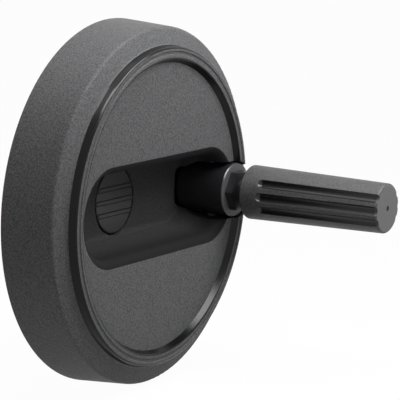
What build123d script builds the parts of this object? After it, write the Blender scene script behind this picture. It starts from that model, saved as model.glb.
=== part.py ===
"""Machine handwheel with a fold-away revolving handle.

The wheel is built lying on its back: its axis is Z, its front looks up and the
handle stands at +X. Height 0 is the rear face of the steel hub bush, where the
wheel seats on the shaft's shoulder. The last lines stand the wheel up, so that
its front looks along -Y and the shaft comes in from +Y.
"""

from build123d import *
from math import cos, hypot, radians, sin, sqrt, tan
import os

# ---- Driving sizes, in millimetres and degrees ----

# Rim, raised ring and disc: one moulding
wheel_radius = 80.0         # rear edge of the rim, its widest place
hub_projection = 20.0       # the hub stands this far behind the rim's rear edge
rim_height = 24.7           # rim, rear edge to its front corner
rim_draft = 4.2             # lean of the rim's outer wall towards the front
rim_wall = 3.8
disc_rise = 3.8             # the disc's face in front of the rim's front corner
disc_wall = 3.5
ring_inset = 9.75           # foot of the ring's outer wall, in from the wheel's edge
ring_width = 7.45           # from foot to foot
ring_foot_rise = 2.7        # the rim's face climbs this much to the ring's outer wall
ring_height = 2.45          # crest of the ring's beads above the disc's face
ring_outer_lean = 0.8       # lean of the outer wall over its height
ring_inner_lean = 1.7       # lean of the inner wall over its height
bead_width = 1.6            # each of the two beads that edge the ring's band
bead_slope = 0.4            # width of the slope from a bead to the band
band_depth = 0.45           # the band between the beads is sunk by this much

# Roundings of the moulding
rim_rear_rounding = 1.0
rim_front_rounding = 1.8
ring_foot_rounding = 1.0
outer_bead_easing = 0.9     # the ring's outer shoulder rounds off over this reach
inner_bead_easing = 0.5
bead_facets = 3             # flat turned faces in each of those roundings
inner_corner_rounding = 3.0

# Pocket across the disc that takes the folded handle
pocket_depth = 24.1
pocket_half_width = 15.5    # at its floor
pocket_draft = 8.0
pocket_near_margin = 4.2    # half-round end under the handle to the ring, at the disc's face
pocket_far_margin = 5.0     # the other half-round end to the ring
pocket_floor_rounding = 2.5
pocket_mouth_rounding = 4.0
pocket_wall = 3.0

# Ribs on the back
rib_angles = (45, 90, 135, 225, 270, 315)
rib_thickness = 3.0
rib_depth = 12.0

# Hub, bush and cap
hub_radius = 21.0
hub_draft = 2.0
hub_setback = 1.0           # the steel bush stands proud of the plastic hub
shaft_bore_radius = 8.0
bush_length = 18.0
bush_hex = 28.0             # across flats
bush_collar_length = 3.0
bush_chamfer = 0.8
keyway_width = 5.0
keyway_depth = 2.3
cap_radius = 14.5
cap_thickness = 2.6
cap_gap = 0.9               # gap round the cap's edge
cap_sink = 0.1              # the cap's face lies below the pocket's floor
cap_edge_easing = 0.5       # flat turned faces, so the grooves cross the edge cleanly
cap_skirt_radius = 13.3
cap_skirt_wall = 1.6
cap_skirt_length = 3.2
cap_bead_height = 0.25
cap_bead_width = 0.9
cap_bore_clearance = 0.2
cap_bar_width = 1.5
cap_bar_pitch = 5.7
cap_bar_height = 0.3
cap_bar_groove_width = 0.4  # groove along each side of a bar
cap_bar_groove_depth = 0.6
cap_recess_chamfer = 0.3

# Grub screw that locks the hub on its shaft
set_screw_radius = 3.0
set_screw_length = 7.0
set_screw_height = 9.5
set_screw_socket = 3.0      # across flats
set_screw_socket_depth = 3.5
set_screw_access = 0.4      # the hole in the plastic is wider than the screw

# Hinge of the handle
handle_inset = 18.5         # handle's axis, in from the wheel's edge
block_radius = 12.4
block_stand_out = 1.5       # the block's front face above the disc's face
block_edge_chamfer = 0.5
block_foot_rounding = 2.5
fold_clearance = 0.4        # folded block to pocket floor
foot_clearance = 0.2        # standing block to pocket floor
socket_gap = 0.7            # all round the block
swing_clearance = 0.5       # foot of the block to the well under it, while it swings
well_wall = 2.2             # skin behind the well
cheek_wall = 4.0
lip_rear = 4.0              # rear side of the socket's round lip above the hinge axis
hinge_pin_radius = 3.0
hinge_pin_clearance = 0.05
hinge_pin_inner_end = 5.6   # inner end of each pin from the handle's axis
hinge_pin_proud = 0.3       # each pin stands out of its cheek by this much
hinge_pin_chamfer = 0.4
washer_radius = 4.0
washer_thickness = 0.5
washer_bore_clearance = 0.15
spot_face_depth = 0.75      # flat seat for the washer in the block's round side
spot_face_clearance = 0.4

# Spindle of the handle
stud_radius = 5.0
stud_length = 11.0
stud_hole_extra = 1.0       # the tapped hole is deeper than the stud
collar_hex = 17.0           # across flats
collar_thickness = 4.0
collar_chamfer = 0.8
neck_radius = 5.6
neck_length = 3.0
journal_radius = 4.5
journal_length = 61.0
journal_chamfer = 0.6
snap_groove_depth = 0.8
snap_groove_width = 1.5
snap_groove_end = 5.0       # groove's centre from the spindle's end

# Grip that turns on the spindle
grip_length = 70.0
grip_base_radius = 9.5
grip_shoulder_radius = 12.3
grip_shoulder_height = 1.9
grip_end_radius = 11.1
grip_end_rounding = 1.2
grip_play = 0.2             # neck's shoulder to the grip's base
grip_bore_clearance = 0.1
grip_bore_extra = 1.5       # the bore is deeper than the spindle is long
grip_dimple_radius = 1.2
grip_dimple_depth = 0.5
flute_angles = (-30, 0, 30, 150, 180, 210)
flute_radius = 2.4
flute_depth = 1.4
flute_start = 12.0          # from the grip's base
snap_ring_width = 1.2
snap_ring_reach = 0.9       # ring outside the journal's surface
snap_ring_opening = 50.0
snap_seat_clearance = 0.25

# ---- Heights and places that follow ----

rim_rear = hub_projection
rim_front = rim_rear + rim_height
disc_front = rim_front + disc_rise
disc_rear = disc_front - disc_wall
ring_outer_radius = wheel_radius - ring_inset
ring_inner_radius = ring_outer_radius - ring_width
ring_foot = rim_front + ring_foot_rise
ring_crest = disc_front + ring_height
pocket_floor = disc_front - pocket_depth
pocket_mouth_half_width = pocket_half_width + pocket_depth * tan(radians(pocket_draft))
pocket_near_centre = ring_inner_radius - pocket_near_margin - pocket_mouth_half_width
pocket_far_centre = pocket_mouth_half_width + pocket_far_margin - ring_inner_radius
tub_rear = pocket_floor - pocket_wall
cap_front = pocket_floor - cap_sink
cap_seat = cap_front - cap_thickness
recess_radius = cap_radius + cap_gap

handle_radius_position = wheel_radius - handle_inset
hinge_height = pocket_floor + block_radius + fold_clearance
foot_reach = hinge_height - pocket_floor - foot_clearance
block_front = disc_front + block_stand_out
socket_radius = block_radius + socket_gap
foot_corner = hypot(block_radius - block_foot_rounding, foot_reach - block_foot_rounding)
swing_radius = foot_corner + block_foot_rounding + swing_clearance
heel_radius = foot_reach
cheek_outside = socket_radius + cheek_wall
spot_face_seat = block_radius - spot_face_depth
spot_face_radius = washer_radius + spot_face_clearance
washer_room_end = sqrt(socket_radius ** 2 - washer_radius ** 2)

collar_front = block_front + collar_thickness
neck_front = collar_front + neck_length
grip_base = neck_front + grip_play
grip_front = grip_base + grip_length
spindle_end = neck_front + journal_length
snap_height = spindle_end - snap_groove_end
snap_ring_outside = journal_radius + snap_ring_reach
grip_bore_radius = journal_radius + grip_bore_clearance

outside = 2 * wheel_radius  # reaches past everything

hinge_axis_place = Pos(handle_radius_position, 0, hinge_height)
handle_axis_place = Pos(handle_radius_position, 0, 0)


# ---- Helpers ----

def turned(outline, roundings):
    """Solid of revolution about Z from (radius, height) points and corner radii."""
    path = FilletPolyline(*outline, radius=roundings, close=True)
    return revolve(Plane.XZ * make_face(path), Axis.Z)


def eased(before, corner, after, reach):
    """Points that round a corner of an outline off in flat faces, over a reach each way."""
    middle = Vector(*corner)
    back = (Vector(*before) - middle).normalized() * reach
    ahead = (Vector(*after) - middle).normalized() * reach
    shares = [step / bead_facets for step in range(bead_facets + 1)]
    return [middle + back * (1 - share) ** 2 + ahead * share ** 2 for share in shares]


def rod(radius, bottom, top):
    """Upright cylinder between two heights."""
    return Pos(0, 0, bottom) * Cylinder(radius, top - bottom, align=(Align.CENTER, Align.CENTER, Align.MIN))


def block(x_range, y_range, z_range):
    """Box between two values on each axis."""
    low = (x_range[0], y_range[0], z_range[0])
    high = (x_range[1], y_range[1], z_range[1])
    size = [b - a for a, b in zip(low, high)]
    return Pos(*low) * Box(*size, align=(Align.MIN, Align.MIN, Align.MIN))


def hexagon(across_flats, bottom, top):
    """Upright hexagonal prism with flats towards +Y and -Y."""
    outline = RegularPolygon(across_flats / 2, 6, major_radius=False)
    return Pos(0, 0, bottom) * extrude(outline, top - bottom)


# ---- Wheel body ----

def rim_ring_and_disc():
    """Wall of the wheel: drafted rim, ring with two beads and a band, flat disc.

    The ring has flat turned faces only, so the socket's round wall cuts it cleanly.
    """
    rim_corner_radius = wheel_radius - rim_height * tan(radians(rim_draft))
    band = ring_crest - band_depth
    inner_foot = (ring_inner_radius, disc_front)
    inner_crest = (ring_inner_radius + ring_inner_lean, ring_crest)
    inner_bead_end = (inner_crest[0] + bead_width, ring_crest)
    outer_crest = (ring_outer_radius - ring_outer_lean, ring_crest)
    outer_bead_end = (outer_crest[0] - bead_width, ring_crest)
    outer_foot = (ring_outer_radius, ring_foot)
    ring = eased(inner_foot, inner_crest, inner_bead_end, inner_bead_easing)
    ring += [
        inner_bead_end,
        (inner_bead_end[0] + bead_slope, band),
        (outer_bead_end[0] - bead_slope, band),
        outer_bead_end,
    ]
    ring += eased(outer_bead_end, outer_crest, outer_foot, outer_bead_easing)
    corners = [((0, disc_front), 0), (inner_foot, 0)]
    corners += [(point, 0) for point in ring]
    corners += [
        (outer_foot, ring_foot_rounding),
        ((rim_corner_radius, rim_front), rim_front_rounding),
        ((wheel_radius, rim_rear), rim_rear_rounding),
        ((wheel_radius - rim_wall, rim_rear), rim_rear_rounding),
        ((rim_corner_radius - rim_wall, disc_rear - disc_rise), inner_corner_rounding),
        ((ring_inner_radius, disc_rear), inner_corner_rounding),
        ((0, disc_rear), 0),
    ]
    return turned([point for point, _ in corners], [rounding for _, rounding in corners])


def pocket_outline(margin):
    """Plan of the pocket at the disc's face: a slot with half-round ends, grown by the margin."""
    middle = (pocket_near_centre + pocket_far_centre) / 2
    straight = pocket_near_centre - pocket_far_centre
    return Pos(middle, 0) * SlotCenterToCenter(straight, 2 * (pocket_mouth_half_width + margin))


def drafted(plan, top, depth):
    """The plan at the top height, sunk by the depth and narrowing with the draft."""
    return Pos(0, 0, top) * Rot(180, 0, 0) * extrude(plan, depth, taper=pocket_draft)


def pocket_hollow():
    """Room inside the pocket, with a rounded floor and a rounded mouth."""
    hollow = drafted(pocket_outline(0), disc_front, pocket_depth)
    hollow = fillet(hollow.edges().group_by(Axis.Z)[0], pocket_floor_rounding)
    flared = hollow + rod(outside, disc_front, disc_front + outside)
    level = flared.edges().filter_by_position(Axis.Z, disc_front, disc_front)
    mouth = [edge for edge in level if edge.length < outside]
    flared = fillet(mouth, pocket_mouth_rounding)
    return flared & rod(ring_inner_radius, 0, disc_front)


def hinge_room():
    """Room for the standing, the swinging and the folded block."""
    front = disc_front + outside
    socket = handle_axis_place * rod(socket_radius, pocket_floor, front)
    trough = hinge_axis_place * Rot(0, -90, 0) * rod(block_radius + fold_clearance, 0, swing_radius)
    side = (-socket_radius, socket_radius)
    near = handle_radius_position
    above_trough = block((near - swing_radius, near), side, (hinge_height, front))
    swing = hinge_axis_place * Rot(90, 0, 0) * Cylinder(swing_radius, 2 * socket_radius)
    under_foot = handle_axis_place * rod(socket_radius, 0, hinge_height)
    behind_lip = block((near, near + socket_radius), side, (0, hinge_height + lip_rear))
    well = (swing & under_foot) + (swing & behind_lip)
    return socket + trough + above_trough + well


def back_structure():
    """Tub under the pocket, hub, hinge cheeks and ribs behind the disc."""
    tub = drafted(pocket_outline(pocket_wall), disc_front, disc_front - tub_rear)
    hub_top = pocket_floor
    hub_top_radius = hub_radius + (hub_top - hub_setback) * tan(radians(hub_draft))
    hub = turned(
        [(0, hub_setback), (hub_radius, hub_setback), (hub_top_radius, hub_top), (0, hub_top)],
        [0, rim_rear_rounding, 0, 0],
    )
    near = handle_radius_position
    cheeks = block(
        (near - socket_radius, near + socket_radius + pocket_wall),
        (-cheek_outside, cheek_outside),
        (tub_rear, disc_rear),
    )
    well = hinge_axis_place * Rot(90, 0, 0) * Cylinder(swing_radius + well_wall, 2 * cheek_outside)
    ribs = [
        Rot(0, 0, angle) * block(
            (hub_radius, outside), (-rib_thickness / 2, rib_thickness / 2), (disc_rear - rib_depth, disc_rear)
        )
        for angle in rib_angles
    ]
    inside_rim = rod(wheel_radius - rim_wall / 2 - rim_height * tan(radians(rim_draft)), 0, disc_rear)
    structure = tub + hub + cheeks + well
    for rib in ribs:
        structure = structure + rib
    return structure & inside_rim


def hub_hollow():
    """Seats in the hub for the bush, the cap and the grub screw."""
    seat = hub_bush_form(with_bore=False)
    recess = rod(recess_radius, cap_seat, disc_front)
    edge = Pos(0, 0, pocket_floor) * Rot(180, 0, 0) * Cone(
        recess_radius + cap_recess_chamfer,
        recess_radius,
        cap_recess_chamfer,
        align=(Align.CENTER, Align.CENTER, Align.MIN),
    )
    bore = rod(cap_skirt_radius + cap_bore_clearance, bush_length, cap_seat)
    bead_height = cap_seat - cap_skirt_length + cap_bead_width / 2
    groove = rod(
        cap_skirt_radius + cap_bead_height + cap_bore_clearance,
        bead_height - cap_bead_width,
        bead_height + cap_bead_width,
    )
    screw_hole = Pos(0, 0, set_screw_height) * Rot(0, 90, 0) * rod(
        set_screw_radius + set_screw_access, 0, hub_radius + rim_wall
    )
    return seat + recess + edge + bore + groove + screw_hole


def pin_bores(radius):
    """Bores through both cheeks on the hinge axis."""
    return hinge_axis_place * Rot(90, 0, 0) * Cylinder(radius, 2 * (cheek_outside + cheek_wall))


def wheel_body():
    """Rim, ring, disc, pocket, hub, hinge socket and ribs, moulded as one."""
    body = rim_ring_and_disc() + back_structure()
    body = body - pocket_hollow()
    body = body - hinge_room()
    body = body - hub_hollow()
    return body - pin_bores(hinge_pin_radius)


# ---- Hub ----

def hub_bush_form(with_bore=True):
    """Steel bush turned from hexagon bar, with a round collar at the rear."""
    form = rod(bush_hex / 2, 0, bush_collar_length) + hexagon(bush_hex, bush_collar_length, bush_length)
    if not with_bore:
        return form
    bore = rod(shaft_bore_radius, 0, bush_length)
    form = form - bore
    rims = [
        e for e in form.edges().filter_by(GeomType.CIRCLE)
        if abs(e.radius - shaft_bore_radius) < 0.01
    ]
    form = chamfer(rims, bush_chamfer)
    key_top = shaft_bore_radius + keyway_depth
    keyway = block((-keyway_width / 2, keyway_width / 2), (0, key_top), (0, bush_length))
    screw_hole = Pos(0, 0, set_screw_height) * Rot(0, 90, 0) * rod(set_screw_radius, 0, bush_hex)
    return form - keyway - screw_hole


def shaft_set_screw():
    """Grub screw with a hexagon socket, flush inside the bush's thread."""
    start = shaft_bore_radius + bush_chamfer / 2
    screw = rod(set_screw_radius, start, start + set_screw_length)
    screw = chamfer(screw.edges().group_by(Axis.Z)[0], bush_chamfer)
    top = start + set_screw_length
    screw = screw - hexagon(set_screw_socket, top - set_screw_socket_depth, top)
    return Pos(0, 0, set_screw_height) * Rot(0, 90, 0) * screw


def hub_cap():
    """Snap-in cap with a sprung skirt and three raised bars."""
    inner = cap_skirt_radius - cap_skirt_wall
    bottom = cap_seat - cap_skirt_length
    bead = cap_skirt_radius + cap_bead_height
    edge_foot = (cap_radius, cap_seat)
    middle_of_face = (0, cap_front)
    outline = [
        (0, cap_seat),
        (inner, cap_seat),
        (inner, bottom),
        (bead, bottom),
        (bead, bottom + cap_bead_width),
        (cap_skirt_radius, bottom + cap_bead_width),
        (cap_skirt_radius, cap_seat),
        edge_foot,
    ]
    outline += eased(edge_foot, (cap_radius, cap_front), middle_of_face, cap_edge_easing)
    outline += [middle_of_face]
    roundings = [cap_bead_height if point == (bead, bottom) else 0 for point in outline]
    cap = turned(outline, roundings)
    raised = rod(cap_radius - cap_edge_easing, cap_front, cap_front + cap_bar_height)
    along = (-cap_radius, cap_radius)
    half = cap_bar_width / 2
    for row in (-1, 0, 1):
        middle = row * cap_bar_pitch
        bar = block(along, (middle - half, middle + half), (cap_front, cap_front + cap_bar_height))
        cap = cap + (bar & raised)
        for start in (middle + half, middle - half - cap_bar_groove_width):
            across = (start, start + cap_bar_groove_width)
            cap = cap - block(along, across, (cap_front - cap_bar_groove_depth, cap_front))
    return cap


# ---- Handle ----

def hinge_block():
    """Round block that carries the handle and swings on two pins.

    Its foot stands on the pocket's floor on the wheel's side. Its heel is part of
    a sphere about the hinge, so that it turns inside the socket.
    """
    bottom = hinge_height - foot_reach
    body = handle_axis_place * rod(block_radius, bottom, block_front)
    body = chamfer(body.edges().group_by(Axis.Z)[-1], block_edge_chamfer)
    near = handle_radius_position
    foot_half = block((near - outside, near), (-outside, outside), (0, outside))
    foot = body & foot_half
    foot_edge = [
        e for e in foot.edges().filter_by(GeomType.CIRCLE)
        if abs(e.center().Z - bottom) < 0.01
    ]
    foot = fillet(foot_edge, block_foot_rounding)
    outer = body - foot_half
    heel_zone = block((near, near + outside), (-outside, outside), (0, hinge_height))
    heel = outer & heel_zone & (hinge_axis_place * Sphere(heel_radius))
    body = foot + (outer - heel_zone) + heel
    bores = pin_bores(hinge_pin_radius + hinge_pin_clearance)
    core = hinge_axis_place * Rot(90, 0, 0) * Cylinder(outside, 2 * hinge_pin_inner_end - fold_clearance)
    body = body - (bores - core)
    for spot in on_both_cheeks(rod(spot_face_radius, spot_face_seat, outside)):
        body = body - spot
    hole_bottom = block_front - stud_length - stud_hole_extra
    return body - handle_axis_place * rod(stud_radius, hole_bottom, block_front)


def on_both_cheeks(piece):
    """The piece along +Z from the hinge axis, set out to both cheeks."""
    return [hinge_axis_place * Rot(side, 0, 0) * piece for side in (-90, 90)]


def hinge_pins():
    """Two stub pins pressed into the cheeks from behind."""
    pin = rod(hinge_pin_radius, hinge_pin_inner_end, cheek_outside + hinge_pin_proud)
    pin = chamfer(pin.edges().filter_by(GeomType.CIRCLE), hinge_pin_chamfer)
    return Compound(children=on_both_cheeks(pin))


def hinge_washers():
    """Two spring washers between the block's flat seats and the cheeks.

    Their outer faces stay inside the socket's round wall, which is nearest to the
    block at the washer's edge.
    """
    middle = (spot_face_seat + washer_room_end) / 2
    low = middle - washer_thickness / 2
    high = middle + washer_thickness / 2
    washer = rod(washer_radius, low, high) - rod(hinge_pin_radius + washer_bore_clearance, low, high)
    return Compound(children=on_both_cheeks(washer))


def handle_spindle():
    """Turned stud with a hexagon collar, a neck and the grip's journal."""
    stud = rod(stud_radius, block_front - stud_length, block_front)
    stud = chamfer(stud.edges().group_by(Axis.Z)[0], collar_chamfer)
    collar = hexagon(collar_hex, block_front, collar_front)
    corner = collar_hex / sqrt(3)
    turned_corners = turned(
        [
            (0, block_front),
            (corner, block_front),
            (corner, collar_front - collar_chamfer / 2),
            (corner - 2 * collar_chamfer, collar_front),
            (0, collar_front),
        ],
        [0, 0, 0, 0, 0],
    )
    neck = rod(neck_radius, collar_front, neck_front)
    journal = rod(journal_radius, neck_front, spindle_end)
    journal = chamfer(journal.edges().group_by(Axis.Z)[-1], journal_chamfer)
    low = snap_height - snap_groove_width / 2
    high = snap_height + snap_groove_width / 2
    groove = rod(journal_radius, low, high) - rod(journal_radius - snap_groove_depth, low, high)
    spindle = stud + (collar & turned_corners) + neck + (journal - groove)
    return handle_axis_place * spindle


def grip_snap_ring():
    """Open spring ring in the spindle's groove that keeps the grip on."""
    low = snap_height - snap_ring_width / 2
    high = snap_height + snap_ring_width / 2
    inside = journal_radius - snap_groove_depth + cap_bore_clearance
    ring = rod(snap_ring_outside, low, high) - rod(inside, low, high)
    half = snap_ring_opening / 2
    reach = 2 * snap_ring_outside
    wedge = Polygon(
        (0, 0),
        (reach * cos(radians(half)), reach * sin(radians(half))),
        (reach * cos(radians(half)), -reach * sin(radians(half))),
        align=None,
    )
    ring = ring - Pos(0, 0, low) * extrude(wedge, snap_ring_width)
    return handle_axis_place * ring


def grip_radius(height):
    """Radius of the grip's plain taper at a height above its base."""
    share = (height - grip_shoulder_height) / (grip_length - grip_shoulder_height)
    return grip_shoulder_radius + share * (grip_end_radius - grip_shoulder_radius)


def flute():
    """Round-nosed cutter that follows the taper and runs out at the grip's end."""
    offset = flute_radius - flute_depth
    start = (grip_radius(flute_start) + offset, 0, grip_base + flute_start)
    lean = (grip_radius(grip_length) - grip_radius(0)) / grip_length
    direction = Vector(lean, 0, 1)
    run = Plane(origin=start, x_dir=(0, 1, 0), z_dir=direction)
    length = grip_length
    cutter = run * Cylinder(flute_radius, length, align=(Align.CENTER, Align.CENTER, Align.MIN))
    return cutter + Pos(*start) * Sphere(flute_radius)


def handle_grip():
    """Moulded sleeve, closed at its end, with two groups of three flutes."""
    grip = turned(
        [
            (0, grip_base),
            (grip_base_radius, grip_base),
            (grip_shoulder_radius, grip_base + grip_shoulder_height),
            (grip_end_radius, grip_front),
            (0, grip_front),
        ],
        [0, 0, grip_end_rounding / 2, grip_end_rounding, 0],
    )
    for angle in flute_angles:
        grip = grip - Rot(0, 0, 180 + angle) * flute()
    grip = grip - rod(grip_bore_radius, grip_base, spindle_end + grip_bore_extra)
    seat_half = snap_groove_width / 2 + snap_seat_clearance
    seat = rod(snap_ring_outside + snap_seat_clearance, snap_height - seat_half, snap_height + seat_half)
    dimple = rod(grip_dimple_radius, grip_front - grip_dimple_depth, grip_front)
    return handle_axis_place * (grip - seat - dimple)


# ---- The wheel, stood up ----

nodes = {
    "wheel_body": wheel_body(),
    "hub_bush": hub_bush_form(),
    "hub_cap": hub_cap(),
    "shaft_set_screw": shaft_set_screw(),
    "hinge_pins": hinge_pins(),
    "hinge_washers": hinge_washers(),
    "hinge_block": hinge_block(),
    "handle_spindle": handle_spindle(),
    "grip_snap_ring": grip_snap_ring(),
    "handle_grip": handle_grip(),
}

os.makedirs("parts", exist_ok=True)
for name, solid in nodes.items():
    export_step(Rot(90, 0, 0) * solid, f"parts/{name}.step")
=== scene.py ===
"""Machine handwheel with a fold-away revolving handle.

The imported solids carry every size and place. This script gives each piece its finish,
in the order in which the wheel is put together, and then sets the stage.
"""
from math import cos, pi, radians, sin

import bpy
from mathutils import Matrix, Vector


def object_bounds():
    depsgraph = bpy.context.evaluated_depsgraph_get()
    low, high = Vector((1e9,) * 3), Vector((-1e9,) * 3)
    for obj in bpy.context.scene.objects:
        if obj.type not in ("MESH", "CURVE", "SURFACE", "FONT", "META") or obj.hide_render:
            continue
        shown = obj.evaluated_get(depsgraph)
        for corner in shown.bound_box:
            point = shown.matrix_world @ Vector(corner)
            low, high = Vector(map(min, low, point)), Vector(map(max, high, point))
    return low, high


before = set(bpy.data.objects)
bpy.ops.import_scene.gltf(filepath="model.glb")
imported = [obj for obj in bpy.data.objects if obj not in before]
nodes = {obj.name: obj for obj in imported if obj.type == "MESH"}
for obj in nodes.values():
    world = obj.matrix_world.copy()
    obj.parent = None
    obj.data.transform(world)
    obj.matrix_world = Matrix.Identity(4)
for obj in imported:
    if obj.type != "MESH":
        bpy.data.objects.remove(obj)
cad_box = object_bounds()

MM = 0.001


# ---- Wheel body ------------------------------------------------------------------
# One moulding in black glass-fibre reinforced nylon. The steel mould is spark eroded
# on the rim, the ring's band and the disc, which leaves an even matt grain there.
# It is polished on the ring's shoulders and only stoned dull in the pocket.

def linear(hex_colour):
    """Linear RGBA of an sRGB hex colour."""
    channels = [int(hex_colour[i:i + 2], 16) / 255 for i in (1, 3, 5)]
    return [c / 12.92 if c <= 0.04045 else ((c + 0.055) / 1.055) ** 2.4 for c in channels] + [1.0]


def feed(tree, node, **inputs):
    """Sets a node's inputs to values, or links them to other nodes' sockets.

    An input is named with underscores for spaces, or by its number as _0, _1 and so on.
    """
    for name, value in inputs.items():
        key = int(name[1:]) if name[1:].isdigit() else name.replace("_", " ")
        if isinstance(value, bpy.types.NodeSocket):
            tree.links.new(value, node.inputs[key])
        else:
            node.inputs[key].default_value = value


def add(tree, kind, settings=None, **inputs):
    """Adds a node with its settings and inputs, and returns it."""
    made = tree.nodes.new(kind)
    for name, value in (settings or {}).items():
        setattr(made, name, value)
    feed(tree, made, **inputs)
    return made


def new_material(name, specular=0.5, metallic=0.0):
    """Starts a material: returns it, its tree, its surface shader and object coordinates."""
    material = bpy.data.materials.new(name)
    material.use_nodes = True
    tree = material.node_tree
    tree.nodes.clear()
    shader = add(tree, "ShaderNodeBsdfPrincipled", Specular_IOR_Level=specular, Metallic=metallic)
    add(tree, "ShaderNodeOutputMaterial", Surface=shader.outputs["BSDF"])
    place = add(tree, "ShaderNodeTexCoord").outputs["Object"]
    return material, tree, shader, place


def finish_with(node, material):
    """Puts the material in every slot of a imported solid."""
    for index in range(len(nodes[node].data.materials)):
        nodes[node].data.materials[index] = material


# The real grain is about 0.1 mm, too fine to show, so it is drawn at 0.7 mm. Noise
# keeps to the middle of its range, so that middle is spread over the whole range.
grain_size = 0.7 * MM
noise_low = 0.3
noise_high = 0.7


def moulded_grain(tree, place):
    """The grain that a spark-eroded mould leaves, from 0 to 1."""
    noise = add(
        tree, "ShaderNodeTexNoise", Vector=place, Scale=1 / grain_size, Detail=2.0, Roughness=0.6
    )
    spread = add(
        tree, "ShaderNodeMapRange",
        Value=noise.outputs["Fac"], From_Min=noise_low, From_Max=noise_high,
    )
    return spread.outputs["Result"]


def axis_distance(tree, place):
    """Distance of a place from the y axis: the length of (x, 0, z)."""
    flat = add(tree, "ShaderNodeVectorMath", {"operation": "MULTIPLY"}, _0=place, _1=(1, 0, 1))
    length = add(tree, "ShaderNodeVectorMath", {"operation": "LENGTH"}, _0=flat.outputs["Vector"])
    return length.outputs["Value"]


wheel_plastic, tree, shader, place = new_material(
    "black_glass_filled_nylon_spark_eroded", specular=0.15
)

# Where the mould is spark eroded, by distance from the wheel's axis: the rim, and
# the disc and the ring's band as far back as the disc's face.
reach = 80 * MM
disc_radius = 62.8 * MM
band_inner_radius = 65.0 * MM
band_outer_radius = 68.7 * MM
ring_foot_radius = 70.25 * MM
disc_face = -48.45 * MM
radius = axis_distance(tree, place)
share = add(tree, "ShaderNodeMath", {"operation": "DIVIDE"}, _0=radius, _1=reach)
zones = add(tree, "ShaderNodeValToRGB", Fac=share.outputs[0])
zones.color_ramp.interpolation = "CONSTANT"
zones.color_ramp.elements[0].color = (1, 1, 1, 1)
zones.color_ramp.elements[1].position = disc_radius / reach
zones.color_ramp.elements[1].color = (0, 0, 0, 1)
for edge, grey in ((band_inner_radius, 1), (band_outer_radius, 0), (ring_foot_radius, 1)):
    zones.color_ramp.elements.new(edge / reach).color = (grey, grey, grey, 1)
depth = add(tree, "ShaderNodeSeparateXYZ", Vector=place).outputs["Y"]
on_face = add(tree, "ShaderNodeMath", {"operation": "LESS_THAN"}, _0=depth, _1=disc_face)
past_ring = add(tree, "ShaderNodeMath", {"operation": "GREATER_THAN"}, _0=radius, _1=ring_foot_radius)
in_front = add(
    tree, "ShaderNodeMath", {"operation": "MAXIMUM"}, _0=on_face.outputs[0], _1=past_ring.outputs[0]
)
eroded = add(
    tree, "ShaderNodeMath", {"operation": "MULTIPLY"}, _0=zones.outputs["Color"], _1=in_front.outputs[0]
).outputs[0]

grain = moulded_grain(tree, place)
eroded_tone = add(
    tree, "ShaderNodeMix", {"data_type": "RGBA"}, _0=grain, _6=linear("#2e2e2f"), _7=linear("#505051")
)

# The stoned skin of the pocket has painted shade: its colour is nearly black at the mouth and a little
# paler towards the floor, where the grain shows again. The same painted shade makes every smooth part in
# front of the mouth nearly black, the ring's shoulders too.
mouth_depth = -42 * MM
floor_depth = -26 * MM
painted_pocket_shade_ramp = add(tree, "ShaderNodeMapRange", Value=depth, From_Min=mouth_depth, From_Max=floor_depth)
floor_tone = add(
    tree, "ShaderNodeMix", {"data_type": "RGBA"}, _0=grain, _6=linear("#222223"), _7=linear("#39393a")
)
smooth_tone_with_painted_shade = add(
    tree, "ShaderNodeMix", {"data_type": "RGBA"},
    _0=painted_pocket_shade_ramp.outputs["Result"], _6=linear("#0c0c0d"), _7=floor_tone.outputs[2],
)
tone = add(
    tree, "ShaderNodeMix", {"data_type": "RGBA"},
    _0=eroded, _6=smooth_tone_with_painted_shade.outputs[2], _7=eroded_tone.outputs[2],
)

# Only the ring is polished. The ribs and walls that lie behind it are stoned.
ring_back = -46.5 * MM
stoned_roughness = 0.85
polished_roughness = 0.18
eroded_roughness = 0.56
smooth_relief = 0.02
eroded_relief = 0.8
grain_height = 0.06 * MM
past_disc = add(tree, "ShaderNodeMath", {"operation": "GREATER_THAN"}, _0=radius, _1=disc_radius)
before_back = add(tree, "ShaderNodeMath", {"operation": "LESS_THAN"}, _0=depth, _1=ring_back)
on_ring = add(
    tree, "ShaderNodeMath", {"operation": "MULTIPLY"}, _0=past_disc.outputs[0], _1=before_back.outputs[0]
)
polish = add(
    tree, "ShaderNodeMapRange",
    Value=on_ring.outputs[0], To_Min=stoned_roughness, To_Max=polished_roughness,
)
sheen = add(
    tree, "ShaderNodeMapRange",
    Value=eroded, To_Min=polish.outputs["Result"], To_Max=eroded_roughness,
)
relief = add(tree, "ShaderNodeMapRange", Value=eroded, To_Min=smooth_relief, To_Max=eroded_relief)
bump = add(
    tree, "ShaderNodeBump", Height=grain, Strength=relief.outputs["Result"], Distance=grain_height
)
feed(
    tree, shader, Base_Color=tone.outputs[2],
    Roughness=sheen.outputs["Result"], Normal=bump.outputs["Normal"],
)
finish_with("wheel_body", wheel_plastic)


# ---- Hub bush --------------------------------------------------------------------
# Turned from hexagon bar of free-cutting steel and moulded into the hub: bright, with
# the lathe's fine rings on its faces, which are drawn at 0.4 mm so that they show.

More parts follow.
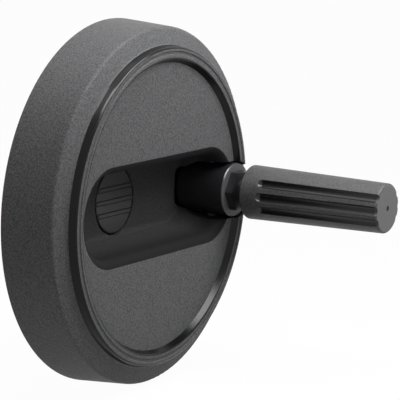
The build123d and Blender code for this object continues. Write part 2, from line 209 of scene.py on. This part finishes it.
bush_steel, tree, shader, place = new_material("turned_free_cutting_steel", metallic=1.0)
turning_pitch = 0.4 * MM
stain_size = 4 * MM
groove_roughness = 0.26
crest_roughness = 0.4
ring_height = 0.01 * MM
wave_turn = 2 * pi / 20       # a wave texture repeats over this length at scale 1
rings = add(
    tree, "ShaderNodeTexWave", {"wave_type": "RINGS", "rings_direction": "Y"},
    Vector=place, Scale=wave_turn / turning_pitch, Distortion=0.6, Detail=2.0, Detail_Scale=4.0,
).outputs["Fac"]
stain = add(tree, "ShaderNodeTexNoise", Vector=place, Scale=1 / stain_size, Detail=3.0).outputs["Fac"]
tone = add(
    tree, "ShaderNodeMix", {"data_type": "RGBA"}, _0=stain, _6=linear("#a9a7a2"), _7=linear("#c3c1bc")
)
matt = add(
    tree, "ShaderNodeMapRange", Value=rings, To_Min=groove_roughness, To_Max=crest_roughness
)
bump = add(tree, "ShaderNodeBump", Height=rings, Strength=0.5, Distance=ring_height)
feed(
    tree, shader, Base_Color=tone.outputs[2],
    Roughness=matt.outputs["Result"], Normal=bump.outputs["Normal"],
)
finish_with("hub_bush", bush_steel)


# ---- Set screw and snap ring -----------------------------------------------------
# The grub screw in the bush's thread, which holds the shaft, and the open ring in the
# spindle's groove, which keeps the grip on: steel, hardened and bright from tumbling,
# with faint grey patches where the oil dried.

small_steel, tree, shader, place = new_material("tumbled_hardened_steel", metallic=1.0)
patch_size = 1.5 * MM
bright_roughness = 0.3
patch_roughness = 0.45
patches = add(tree, "ShaderNodeTexNoise", Vector=place, Scale=1 / patch_size, Detail=3.0).outputs["Fac"]
tone = add(
    tree, "ShaderNodeMix", {"data_type": "RGBA"}, _0=patches, _6=linear("#6b6a69"), _7=linear("#8f8e8c")
)
matt = add(
    tree, "ShaderNodeMapRange", Value=patches, To_Min=bright_roughness, To_Max=patch_roughness
)
feed(tree, shader, Base_Color=tone.outputs[2], Roughness=matt.outputs["Result"])
for name in ("shaft_set_screw", "grip_snap_ring"):
    finish_with(name, small_steel)


# ---- Hub cap ---------------------------------------------------------------------
# Moulded in black nylon without glass and snapped into the hub over the bush: an even
# satin skin, about as dark as the stoned floor round it. The skin's unevenness is finer
# than the 0.8 mm at which it is drawn.

cap_plastic, tree, shader, place = new_material("black_moulded_nylon_satin", specular=0.3)
skin_size = 0.8 * MM
skin_height = 0.03 * MM
satin_roughness = 0.4
skin = add(tree, "ShaderNodeTexNoise", Vector=place, Scale=1 / skin_size, Detail=2.0).outputs["Fac"]
tone = add(
    tree, "ShaderNodeMix", {"data_type": "RGBA"}, _0=skin, _6=linear("#242425"), _7=linear("#2d2d2e")
)
bump = add(tree, "ShaderNodeBump", Height=skin, Strength=0.2, Distance=skin_height)
feed(
    tree, shader, Base_Color=tone.outputs[2],
    Roughness=satin_roughness, Normal=bump.outputs["Normal"],
)
finish_with("hub_cap", cap_plastic)


# ---- Hinge block -----------------------------------------------------------------
# The handle's foot, which swings on the hinge pins: machined steel with a black
# electrophoretic coat, glossy on its round side and blasted to a light grain on its
# front. The real grit marks are too fine to show, so they are drawn at 0.45 mm.

block_coat, tree, shader, place = new_material("black_coated_machined_steel", specular=0.4)
block_face = -49.9 * MM
depth = add(tree, "ShaderNodeSeparateXYZ", Vector=place).outputs["Y"]
blasted = add(tree, "ShaderNodeMath", {"operation": "LESS_THAN"}, _0=depth, _1=block_face).outputs[0]
grit_size = 0.45 * MM
grit_height = 0.03 * MM
coated_roughness = 0.24
blasted_roughness = 0.55
coated_relief = 0.03
blasted_relief = 0.6
grit = add(
    tree, "ShaderNodeTexNoise", Vector=place, Scale=1 / grit_size, Detail=3.0, Roughness=0.7
).outputs["Fac"]
face_tone = add(
    tree, "ShaderNodeMix", {"data_type": "RGBA"}, _0=grit, _6=linear("#1e1e1f"), _7=linear("#4c4c4d")
)
tone = add(
    tree, "ShaderNodeMix", {"data_type": "RGBA"},
    _0=blasted, _6=linear("#1a1a1c"), _7=face_tone.outputs[2],
)
matt = add(
    tree, "ShaderNodeMapRange", Value=blasted, To_Min=coated_roughness, To_Max=blasted_roughness
)
relief = add(
    tree, "ShaderNodeMapRange", Value=blasted, To_Min=coated_relief, To_Max=blasted_relief
)
bump = add(
    tree, "ShaderNodeBump", Height=grit, Strength=relief.outputs["Result"], Distance=grit_height
)
feed(
    tree, shader, Base_Color=tone.outputs[2],
    Roughness=matt.outputs["Result"], Normal=bump.outputs["Normal"],
)
finish_with("hinge_block", block_coat)


# ---- Spindle, hinge pins and hinge washers ---------------------------------------
# The stud in the block's tapped hole, the pins pressed into the wheel's cheeks and the
# spring washers beside the block: steel with a black oxide finish, wiped with oil. The
# oxide hides the metal, so it isn't metallic: a deep blue-black with a soft shine.

oxide, tree, shader, place = new_material("black_oxide_turned_steel", specular=0.4)
cloud_size = 2.5 * MM
mark_size = 0.35 * MM         # turning marks, finer on the real pieces
mark_height = 0.01 * MM
oiled_roughness = 0.26
wiped_roughness = 0.38
cloud = add(tree, "ShaderNodeTexNoise", Vector=place, Scale=1 / cloud_size, Detail=3.0).outputs["Fac"]
marks = add(tree, "ShaderNodeTexNoise", Vector=place, Scale=1 / mark_size, Detail=1.0).outputs["Fac"]
tone = add(
    tree, "ShaderNodeMix", {"data_type": "RGBA"}, _0=cloud, _6=linear("#151517"), _7=linear("#1e1e20")
)
matt = add(tree, "ShaderNodeMapRange", Value=cloud, To_Min=oiled_roughness, To_Max=wiped_roughness)
bump = add(tree, "ShaderNodeBump", Height=marks, Strength=0.15, Distance=mark_height)
feed(
    tree, shader, Base_Color=tone.outputs[2],
    Roughness=matt.outputs["Result"], Normal=bump.outputs["Normal"],
)
for name in ("handle_spindle", "hinge_pins", "hinge_washers"):
    finish_with(name, oxide)


# ---- Grip ------------------------------------------------------------------------
# Compression moulded black phenolic, free to turn on the spindle: grained outside like the wheel,
# polished in the flutes and painted darker there as shade, with the trimming tool's rings on its end. The
# real rings are finer and are drawn 0.9 mm apart so that they show.

grip_plastic, tree, shader, place = new_material("black_phenolic_compression_moulded", specular=0.35)
handle_axis_x = 61.5 * MM
grip_shoulder_y = -59.1 * MM
grip_shoulder_radius = 12.3 * MM
grip_taper = 1.2 / 68.1       # radius lost over the length, towards the end
flutes_start_y = -67.0 * MM
flutes_end_y = -125.9 * MM
end_face_y = -127.1 * MM
flute_edge = 0.1 * MM
flute_side = 0.35 * MM
ring_pitch = 0.9 * MM
outside_roughness = 0.52
flute_roughness = 0.26
outside_relief = 0.6
flute_relief = 0.1
grip_grain_height = 0.03 * MM
about_axis = add(
    tree, "ShaderNodeVectorMath", {"operation": "SUBTRACT"}, _0=place, _1=(handle_axis_x, 0, 0)
).outputs["Vector"]
radius = axis_distance(tree, about_axis)
along = add(tree, "ShaderNodeSeparateXYZ", Vector=place).outputs["Y"]

# A point lies in a flute where it is nearer to the axis than the plain taper.
behind = add(tree, "ShaderNodeMath", {"operation": "SUBTRACT"}, _0=along, _1=grip_shoulder_y)
taper_radius = add(
    tree, "ShaderNodeMath", {"operation": "MULTIPLY_ADD"},
    _0=behind.outputs[0], _1=grip_taper, _2=grip_shoulder_radius,
)
sunk = add(tree, "ShaderNodeMath", {"operation": "SUBTRACT"}, _0=taper_radius.outputs[0], _1=radius)
in_taper = add(
    tree, "ShaderNodeMapRange", Value=sunk.outputs[0], From_Min=flute_edge, From_Max=flute_side
)
after_start = add(tree, "ShaderNodeMath", {"operation": "LESS_THAN"}, _0=along, _1=flutes_start_y)
before_end = add(tree, "ShaderNodeMath", {"operation": "GREATER_THAN"}, _0=along, _1=flutes_end_y)
in_length = add(
    tree, "ShaderNodeMath", {"operation": "MULTIPLY"}, _0=after_start.outputs[0], _1=before_end.outputs[0]
)
flute_mask_polish_and_shade = add(
    tree, "ShaderNodeMath", {"operation": "MULTIPLY"},
    _0=in_taper.outputs["Result"], _1=in_length.outputs[0],
).outputs[0]

grain = moulded_grain(tree, place)
rings = add(
    tree, "ShaderNodeTexWave", {"wave_type": "RINGS", "rings_direction": "Y"},
    Vector=about_axis, Scale=wave_turn / ring_pitch, Distortion=0.4, Detail=1.0,
).outputs["Fac"]
on_end = add(tree, "ShaderNodeMath", {"operation": "LESS_THAN"}, _0=along, _1=end_face_y).outputs[0]
outside_tone = add(
    tree, "ShaderNodeMix", {"data_type": "RGBA"}, _0=grain, _6=linear("#1e1e1f"), _7=linear("#424243")
)
end_tone = add(
    tree, "ShaderNodeMix", {"data_type": "RGBA"}, _0=rings, _6=linear("#4a4a4b"), _7=linear("#565657")
)
# Painted shade: the flutes are coloured nearly black for the shade in their hollows. Their polish is in
# the roughness below.
tone_with_painted_flute_shade = add(
    tree, "ShaderNodeMix", {"data_type": "RGBA"},
    _0=flute_mask_polish_and_shade, _6=outside_tone.outputs[2], _7=linear("#101011"),
)
tone = add(
    tree, "ShaderNodeMix", {"data_type": "RGBA"},
    _0=on_end, _6=tone_with_painted_flute_shade.outputs[2], _7=end_tone.outputs[2],
)
matt = add(
    tree, "ShaderNodeMapRange", Value=flute_mask_polish_and_shade, To_Min=outside_roughness, To_Max=flute_roughness
)
relief = add(
    tree, "ShaderNodeMapRange", Value=flute_mask_polish_and_shade, To_Min=outside_relief, To_Max=flute_relief
)
bump = add(
    tree, "ShaderNodeBump", Height=grain, Strength=relief.outputs["Result"], Distance=grip_grain_height
)
feed(
    tree, shader, Base_Color=tone.outputs[2],
    Roughness=matt.outputs["Result"], Normal=bump.outputs["Normal"],
)
finish_with("handle_grip", grip_plastic)


# ---- Floor -----------------------------------------------------------------------
# A pale painted floor just under the standing wheel. Where it is seen it is almost
# plain white, and it keeps only a little of the wheel's soft shadow.

def seen(tree):
    """1 on rays that see a thing directly, mirrored or through a clear piece, otherwise 0."""
    ray = add(tree, "ShaderNodeLightPath")
    straight = add(
        tree, "ShaderNodeMath", {"operation": "MAXIMUM"},
        _0=ray.outputs["Is Camera Ray"], _1=ray.outputs["Is Glossy Ray"],
    )
    shown = add(
        tree, "ShaderNodeMath", {"operation": "MAXIMUM"},
        _0=straight.outputs[0], _1=ray.outputs["Is Transmission Ray"],
    )
    return shown.outputs[0]


lowest = cad_box[0].z
floor_size = 12.0
floor_gap = 0.3 * MM
floor_whiteness = 0.97
bpy.ops.mesh.primitive_plane_add(size=floor_size, location=(0, 0, lowest - floor_gap))
floor = bpy.context.object
floor.name = "floor"
floor_paint = bpy.data.materials.new("white_studio_floor")
floor_paint.use_nodes = True
tree = floor_paint.node_tree
tree.nodes.clear()
paint = add(tree, "ShaderNodeBsdfDiffuse", Color=linear("#c4c4c4"))
glow = add(tree, "ShaderNodeEmission", Color=(1, 1, 1, 1), Strength=1.0)
share = add(tree, "ShaderNodeMath", {"operation": "MULTIPLY"}, _0=seen(tree), _1=floor_whiteness)
mixed = add(tree, "ShaderNodeMixShader", Fac=share.outputs[0], _1=paint.outputs[0], _2=glow.outputs[0])
add(tree, "ShaderNodeOutputMaterial", Surface=mixed.outputs[0])
floor.data.materials.append(floor_paint)


# ---- Surround and lamps ----------------------------------------------------------
# The surround is plain white where it is seen, and lights the wheel more faintly than
# it looks. Five square lamps do the rest.

world_light = 0.28
world = bpy.data.worlds.new("studio")
bpy.context.scene.world = world
world.use_nodes = True
tree = world.node_tree
tree.nodes.clear()
strength = add(tree, "ShaderNodeMapRange", Value=seen(tree), To_Min=world_light, To_Max=1.0)
sky = add(tree, "ShaderNodeBackground", Color=(1, 1, 1, 1), Strength=strength.outputs["Result"])
add(tree, "ShaderNodeOutputWorld", Surface=sky.outputs["Background"])


def softbox(name, target, direction, distance, size, power):
    """Square lamp that looks at a target from a direction: metres, and watts."""
    data = bpy.data.lights.new(name, "AREA")
    data.size = size
    data.energy = power
    lamp = bpy.data.objects.new(name, data)
    bpy.context.scene.collection.objects.link(lamp)
    away = Vector(direction).normalized()
    lamp.location = Vector(target) + away * distance
    lamp.rotation_euler = away.to_track_quat("Z", "Y").to_euler()


# In turn: the disc and the pocket, the ring's shoulder, the upper disc, the top of the
# rim, and a wide weak one for the rim's side.
wheel_centre = (0, -0.04, 0)
softbox("front_softbox", wheel_centre, (0.1, -0.7, 0.8), 0.36, 0.2, 1.0)
softbox("ring_softbox", wheel_centre, (-0.28, -0.07, 0.96), 0.4, 0.13, 1.05)
softbox("upper_softbox", wheel_centre, (0.25, -0.6, 1.0), 0.26, 0.15, 0.72)
softbox("top_softbox", wheel_centre, (0.0, 0.35, 1.0), 0.9, 0.8, 2.0)
softbox("fill_softbox", wheel_centre, (-0.6, -0.8, 0.15), 1.2, 1.0, 0.8)


# ---- Camera ----------------------------------------------------------------------
# A long lens from the front left and a little above, rolled slightly, so that the
# wheel's face, its rim and the whole handle show. Angles are in degrees.

camera_azimuth = -59.218
camera_elevation = 9.525
camera_roll = 1.696
camera_distance = 1.055067
camera_aside = 41.183 * MM
camera_lift = -0.192 * MM
view_centre_y = -20 * MM
sensor_width = 36.0
camera_lens = 216.0

turn, rise, lean = radians(camera_azimuth), radians(camera_elevation), radians(camera_roll)
back = Vector((sin(turn) * cos(rise), -cos(turn) * cos(rise), sin(rise)))
level = Vector((cos(turn), sin(turn), 0))
upright = back.cross(level)
right = level * cos(lean) + upright * sin(lean)
up = upright * cos(lean) - level * sin(lean)
station = (
    Vector((0, view_centre_y, 0)) + right * camera_aside + up * camera_lift + back * camera_distance
)
camera_data = bpy.data.cameras.new("camera")
camera_data.sensor_width = sensor_width
camera_data.lens = camera_lens
camera = bpy.data.objects.new("camera", camera_data)
bpy.context.scene.collection.objects.link(camera)
axes = Matrix((right, up, back)).transposed().to_4x4()
camera.matrix_world = Matrix.Translation(station) @ axes
bpy.context.scene.camera = camera
bpy.context.scene.view_settings.view_transform = "Standard"    # colours as they are
